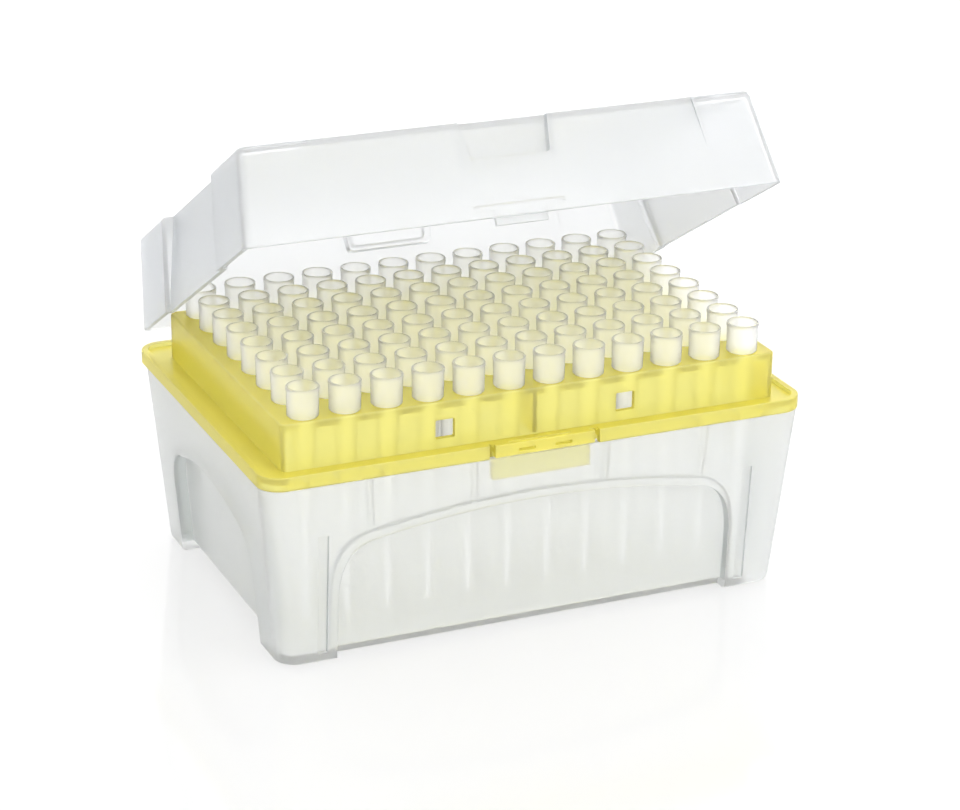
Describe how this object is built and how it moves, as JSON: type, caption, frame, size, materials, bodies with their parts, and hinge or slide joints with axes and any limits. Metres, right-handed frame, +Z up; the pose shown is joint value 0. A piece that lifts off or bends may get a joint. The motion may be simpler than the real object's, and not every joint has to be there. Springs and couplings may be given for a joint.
{
  "type": "pipette tip box",
  "caption": "Box of pipette tips: drafted base with arched walls and corner feet, perforated tray with a latch bar, hinged lid and tapered tips standing in a square grid.",
  "frame": {"origin": "centre of the base's flat underside", "axes": "+X along the long rows of tips to the right, latch side at -Y, hinge side at +Y, +Z up"},
  "size_m": [0.122, 0.0916, 0.1047],
  "materials": {
    "frosted_base": "frosted translucent polypropylene, fine moulded texture",
    "yellow_tray": "translucent yellow polypropylene, satin",
    "lid_clear": "clear to slightly hazy polypropylene with a faint blue cast",
    "tip_clear": "clear natural polypropylene, smooth"
  },
  "bodies": {
    "base": {"base": "frosted_base"},
    "tray": {"tip_tray": "yellow_tray", "tips_a01_a02": "tip_clear", "tips_a03_a04": "tip_clear", "tips_a05_a06": "tip_clear", "tips_a07_a08": "tip_clear", "tips_a09_a10": "tip_clear", "tips_a11_a12": "tip_clear", "tips_b01_b02": "tip_clear", "tips_b03_b04": "tip_clear", "tips_b05_b06": "tip_clear", "tips_b07_b08": "tip_clear", "tips_b09_b10": "tip_clear", "tips_b11_b12": "tip_clear", "tips_c01_c02": "tip_clear", "tips_c03_c04": "tip_clear", "tips_c05_c06": "tip_clear", "tips_c07_c08": "tip_clear", "tips_c09_c10": "tip_clear", "tips_c11_c12": "tip_clear", "tips_d01_d02": "tip_clear", "tips_d03_d04": "tip_clear", "tips_d05_d06": "tip_clear", "tips_d07_d08": "tip_clear", "tips_d09_d10": "tip_clear", "tips_d11_d12": "tip_clear", "tips_e01_e02": "tip_clear", "tips_e03_e04": "tip_clear", "tips_e05_e06": "tip_clear", "tips_e07_e08": "tip_clear", "tips_e09_e10": "tip_clear", "tips_e11_e12": "tip_clear", "tips_f01_f02": "tip_clear", "tips_f03_f04": "tip_clear", "tips_f05_f06": "tip_clear", "tips_f07_f08": "tip_clear", "tips_f09_f10": "tip_clear", "tips_f11_f12": "tip_clear", "tips_g01_g02": "tip_clear", "tips_g03_g04": "tip_clear", "tips_g05_g06": "tip_clear", "tips_g07_g08": "tip_clear", "tips_g09_g10": "tip_clear", "tips_g11_g12": "tip_clear"},
    "lid": {"lid": "lid_clear"},
    "tip_h01": {"tip_h01": "tip_clear"},
    "tip_h02": {"tip_h02": "tip_clear"},
    "tip_h03": {"tip_h03": "tip_clear"},
    "tip_h04": {"tip_h04": "tip_clear"},
    "tip_h05": {"tip_h05": "tip_clear"},
    "tip_h06": {"tip_h06": "tip_clear"},
    "tip_h07": {"tip_h07": "tip_clear"},
    "tip_h08": {"tip_h08": "tip_clear"},
    "tip_h09": {"tip_h09": "tip_clear"},
    "tip_h10": {"tip_h10": "tip_clear"},
    "tip_h11": {"tip_h11": "tip_clear"},
    "tip_h12": {"tip_h12": "tip_clear"}
  },
  "joints": [
    {"name": "tray_lift", "type": "slide", "parent": "base", "child": "tray", "axis": [0, 0, 1], "range_m": [0, 0.045]},
    {"name": "lid_hinge", "type": "hinge", "parent": "tray", "child": "lid", "pos_m": [0, 0.046, 0.0429], "axis": [-1, 0, 0], "range_deg": [-30.6, 74]},
    {"name": "tip_h01_lift", "type": "slide", "parent": "tray", "child": "tip_h01", "axis": [0, 0, 1], "range_m": [0, 0.054]},
    {"name": "tip_h02_lift", "type": "slide", "parent": "tray", "child": "tip_h02", "axis": [0, 0, 1], "range_m": [0, 0.054]},
    {"name": "tip_h03_lift", "type": "slide", "parent": "tray", "child": "tip_h03", "axis": [0, 0, 1], "range_m": [0, 0.054]},
    {"name": "tip_h04_lift", "type": "slide", "parent": "tray", "child": "tip_h04", "axis": [0, 0, 1], "range_m": [0, 0.054]},
    {"name": "tip_h05_lift", "type": "slide", "parent": "tray", "child": "tip_h05", "axis": [0, 0, 1], "range_m": [0, 0.054]},
    {"name": "tip_h06_lift", "type": "slide", "parent": "tray", "child": "tip_h06", "axis": [0, 0, 1], "range_m": [0, 0.054]},
    {"name": "tip_h07_lift", "type": "slide", "parent": "tray", "child": "tip_h07", "axis": [0, 0, 1], "range_m": [0, 0.054]},
    {"name": "tip_h08_lift", "type": "slide", "parent": "tray", "child": "tip_h08", "axis": [0, 0, 1], "range_m": [0, 0.054]},
    {"name": "tip_h09_lift", "type": "slide", "parent": "tray", "child": "tip_h09", "axis": [0, 0, 1], "range_m": [0, 0.054]},
    {"name": "tip_h10_lift", "type": "slide", "parent": "tray", "child": "tip_h10", "axis": [0, 0, 1], "range_m": [0, 0.054]},
    {"name": "tip_h11_lift", "type": "slide", "parent": "tray", "child": "tip_h11", "axis": [0, 0, 1], "range_m": [0, 0.054]},
    {"name": "tip_h12_lift", "type": "slide", "parent": "tray", "child": "tip_h12", "axis": [0, 0, 1], "range_m": [0, 0.054]}
  ]
}
